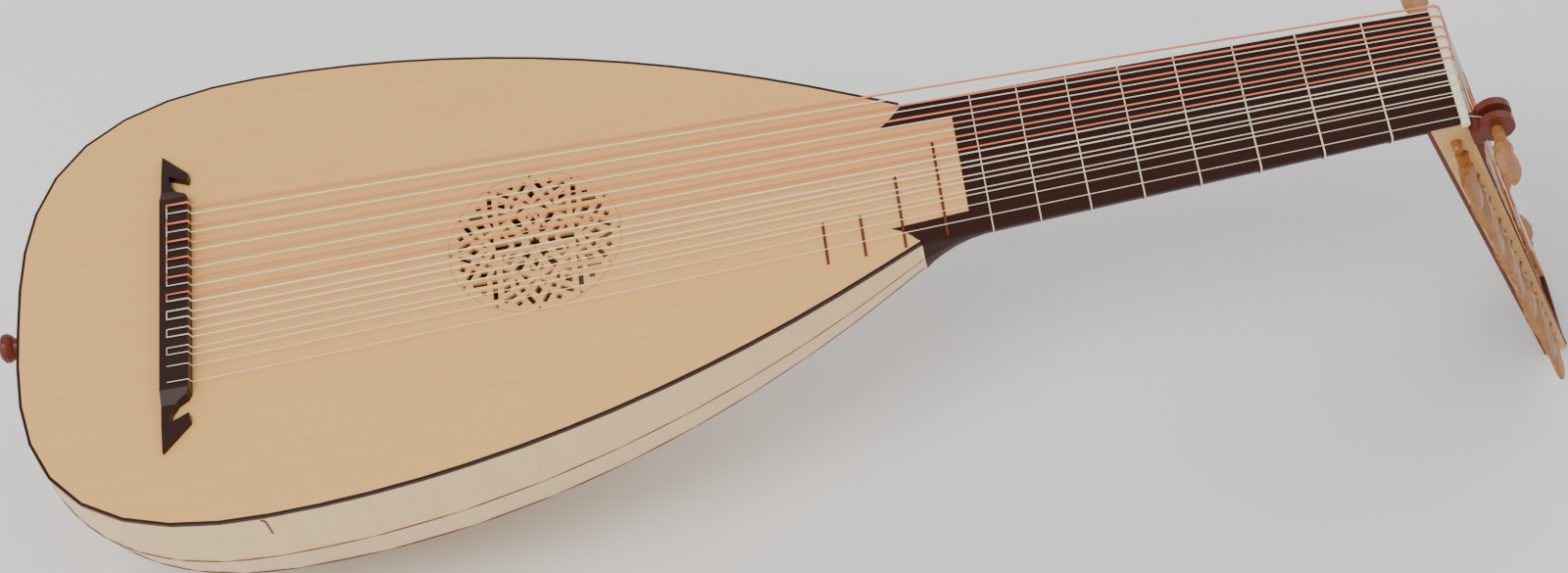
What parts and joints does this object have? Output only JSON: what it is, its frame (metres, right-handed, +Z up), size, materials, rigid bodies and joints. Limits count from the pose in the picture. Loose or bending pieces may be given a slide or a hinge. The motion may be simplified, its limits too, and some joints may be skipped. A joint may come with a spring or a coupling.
{
  "type": "baroque lute",
  "caption": "Plucked lute with a ribbed bowl, a pierced knot rose, tied frets and a bent-back pegbox, lying on its back.",
  "frame": {"origin": "middle of the underside of the box round the whole lute", "axes": "+X from the tail to the pegbox, +Y to the bass side, +Z up out of the soundboard"},
  "size_m": [0.8914, 0.3054, 0.2467],
  "materials": {
    "spruce": "satin",
    "maple": "satin",
    "rosewood": "satin",
    "inner_wood": "satin",
    "plum_wood": "satin",
    "bone": "satin",
    "gut": "satin",
    "peg_wood": "satin",
    "red_gut": "satin"
  },
  "bodies": {
    "lute": {"soundboard": "spruce", "rib_01": "maple", "rib_02": "maple", "rib_03": "maple", "rib_04": "maple", "rib_05": "maple", "rib_06": "maple", "rib_07": "maple", "rib_08": "maple", "rib_09": "maple", "rib_10": "maple", "rib_11": "maple", "edge_binding": "rosewood", "end_clasp": "maple", "tail_lining": "inner_wood", "end_button": "plum_wood", "bridge": "rosewood", "fingerboard": "rosewood", "neck": "rosewood", "neck_block": "inner_wood", "nut": "bone", "pegbox_cheek_bass": "maple", "pegbox_cheek_treble": "maple", "pegbox_back": "plum_wood", "treble_rider": "plum_wood", "course_6": "gut", "course_5": "gut", "course_4": "gut", "course_3": "gut", "course_2": "gut", "course_1": "gut", "bass_courses": "red_gut"},
    "peg_bass_01_body": {"peg_bass_01": "peg_wood"},
    "peg_treble_01_body": {"peg_treble_01": "peg_wood"},
    "peg_bass_02_body": {"peg_bass_02": "peg_wood"},
    "peg_treble_02_body": {"peg_treble_02": "peg_wood"},
    "peg_bass_03_body": {"peg_bass_03": "peg_wood"},
    "peg_treble_03_body": {"peg_treble_03": "peg_wood"},
    "peg_bass_04_body": {"peg_bass_04": "peg_wood"},
    "peg_treble_04_body": {"peg_treble_04": "peg_wood"},
    "peg_bass_05_body": {"peg_bass_05": "peg_wood"},
    "peg_treble_05_body": {"peg_treble_05": "peg_wood"},
    "peg_bass_06_body": {"peg_bass_06": "peg_wood"},
    "peg_treble_06_body": {"peg_treble_06": "peg_wood"},
    "peg_bass_07_body": {"peg_bass_07": "peg_wood"},
    "peg_treble_07_body": {"peg_treble_07": "peg_wood"},
    "peg_bass_08_body": {"peg_bass_08": "peg_wood"},
    "peg_treble_08_body": {"peg_treble_08": "peg_wood"},
    "peg_bass_09_body": {"peg_bass_09": "peg_wood"},
    "peg_treble_09_body": {"peg_treble_09": "peg_wood"},
    "peg_bass_10_body": {"peg_bass_10": "peg_wood"},
    "peg_rider_body": {"peg_rider": "peg_wood"},
    "fret_1_body": {"fret_1": "gut"},
    "fret_2_body": {"fret_2": "gut"},
    "fret_3_body": {"fret_3": "gut"},
    "fret_4_body": {"fret_4": "gut"},
    "fret_5_body": {"fret_5": "gut"},
    "fret_6_body": {"fret_6": "gut"},
    "fret_7_body": {"fret_7": "gut"},
    "fret_8_body": {"fret_8": "gut"}
  },
  "joints": [
    {"name": "peg_bass_01_turn", "type": "hinge", "parent": "lute", "child": "peg_bass_01_body", "pos_m": [0.34899, 0.04736, 0.21996], "axis": [0, 1, 0], "continuous": true},
    {"name": "peg_treble_01_turn", "type": "hinge", "parent": "lute", "child": "peg_treble_01_body", "pos_m": [0.35369, -0.03049, 0.20886], "axis": [0, -1, 0], "continuous": true},
    {"name": "peg_bass_02_turn", "type": "hinge", "parent": "lute", "child": "peg_bass_02_body", "pos_m": [0.35838, 0.04601, 0.19776], "axis": [0, 1, 0], "continuous": true},
    {"name": "peg_treble_02_turn", "type": "hinge", "parent": "lute", "child": "peg_treble_02_body", "pos_m": [0.36308, -0.02914, 0.18666], "axis": [0, -1, 0], "continuous": true},
    {"name": "peg_bass_03_turn", "type": "hinge", "parent": "lute", "child": "peg_bass_03_body", "pos_m": [0.36777, 0.04467, 0.17556], "axis": [0, 1, 0], "continuous": true},
    {"name": "peg_treble_03_turn", "type": "hinge", "parent": "lute", "child": "peg_treble_03_body", "pos_m": [0.37247, -0.02779, 0.16447], "axis": [0, -1, 0], "continuous": true},
    {"name": "peg_bass_04_turn", "type": "hinge", "parent": "lute", "child": "peg_bass_04_body", "pos_m": [0.37716, 0.04332, 0.15337], "axis": [0, 1, 0], "continuous": true},
    {"name": "peg_treble_04_turn", "type": "hinge", "parent": "lute", "child": "peg_treble_04_body", "pos_m": [0.38185, -0.02644, 0.14227], "axis": [0, -1, 0], "continuous": true},
    {"name": "peg_bass_05_turn", "type": "hinge", "parent": "lute", "child": "peg_bass_05_body", "pos_m": [0.38655, 0.04197, 0.13117], "axis": [0, 1, 0], "continuous": true},
    {"name": "peg_treble_05_turn", "type": "hinge", "parent": "lute", "child": "peg_treble_05_body", "pos_m": [0.39124, -0.0251, 0.12008], "axis": [0, -1, 0], "continuous": true},
    {"name": "peg_bass_06_turn", "type": "hinge", "parent": "lute", "child": "peg_bass_06_body", "pos_m": [0.39594, 0.04062, 0.10898], "axis": [0, 1, 0], "continuous": true},
    {"name": "peg_treble_06_turn", "type": "hinge", "parent": "lute", "child": "peg_treble_06_body", "pos_m": [0.40063, -0.02375, 0.09788], "axis": [0, -1, 0], "continuous": true},
    {"name": "peg_bass_07_turn", "type": "hinge", "parent": "lute", "child": "peg_bass_07_body", "pos_m": [0.40533, 0.03928, 0.08678], "axis": [0, 1, 0], "continuous": true},
    {"name": "peg_treble_07_turn", "type": "hinge", "parent": "lute", "child": "peg_treble_07_body", "pos_m": [0.41002, -0.0224, 0.07568], "axis": [0, -1, 0], "continuous": true},
    {"name": "peg_bass_08_turn", "type": "hinge", "parent": "lute", "child": "peg_bass_08_body", "pos_m": [0.41472, 0.03793, 0.06459], "axis": [0, 1, 0], "continuous": true},
    {"name": "peg_treble_08_turn", "type": "hinge", "parent": "lute", "child": "peg_treble_08_body", "pos_m": [0.41941, -0.02106, 0.05349], "axis": [0, -1, 0], "continuous": true},
    {"name": "peg_bass_09_turn", "type": "hinge", "parent": "lute", "child": "peg_bass_09_body", "pos_m": [0.42411, 0.03658, 0.04239], "axis": [0, 1, 0], "continuous": true},
    {"name": "peg_treble_09_turn", "type": "hinge", "parent": "lute", "child": "peg_treble_09_body", "pos_m": [0.4288, -0.01971, 0.03129], "axis": [0, -1, 0], "continuous": true},
    {"name": "peg_bass_10_turn", "type": "hinge", "parent": "lute", "child": "peg_bass_10_body", "pos_m": [0.43349, 0.03523, 0.02019], "axis": [0, 1, 0], "continuous": true},
    {"name": "peg_rider_turn", "type": "hinge", "parent": "lute", "child": "peg_rider_body", "pos_m": [0.3674, -0.038, 0.23676], "axis": [0, -1, 0], "continuous": true},
    {"name": "fret_1_slide", "type": "slide", "parent": "lute", "child": "fret_1_body", "axis": [0.9923, 0, 0.1241], "range_m": [-0.002, 0.002]},
    {"name": "fret_2_slide", "type": "slide", "parent": "lute", "child": "fret_2_body", "axis": [0.9923, 0, 0.1241], "range_m": [-0.002, 0.002]},
    {"name": "fret_3_slide", "type": "slide", "parent": "lute", "child": "fret_3_body", "axis": [0.9923, 0, 0.1241], "range_m": [-0.002, 0.002]},
    {"name": "fret_4_slide", "type": "slide", "parent": "lute", "child": "fret_4_body", "axis": [0.9923, 0, 0.1241], "range_m": [-0.002, 0.002]},
    {"name": "fret_5_slide", "type": "slide", "parent": "lute", "child": "fret_5_body", "axis": [0.9923, 0, 0.1241], "range_m": [-0.002, 0.002]},
    {"name": "fret_6_slide", "type": "slide", "parent": "lute", "child": "fret_6_body", "axis": [0.9923, 0, 0.1241], "range_m": [-0.002, 0.002]},
    {"name": "fret_7_slide", "type": "slide", "parent": "lute", "child": "fret_7_body", "axis": [0.9923, 0, 0.1241], "range_m": [-0.002, 0.002]},
    {"name": "fret_8_slide", "type": "slide", "parent": "lute", "child": "fret_8_body", "axis": [0.9923, 0, 0.1241], "range_m": [-0.002, 0.002]}
  ]
}
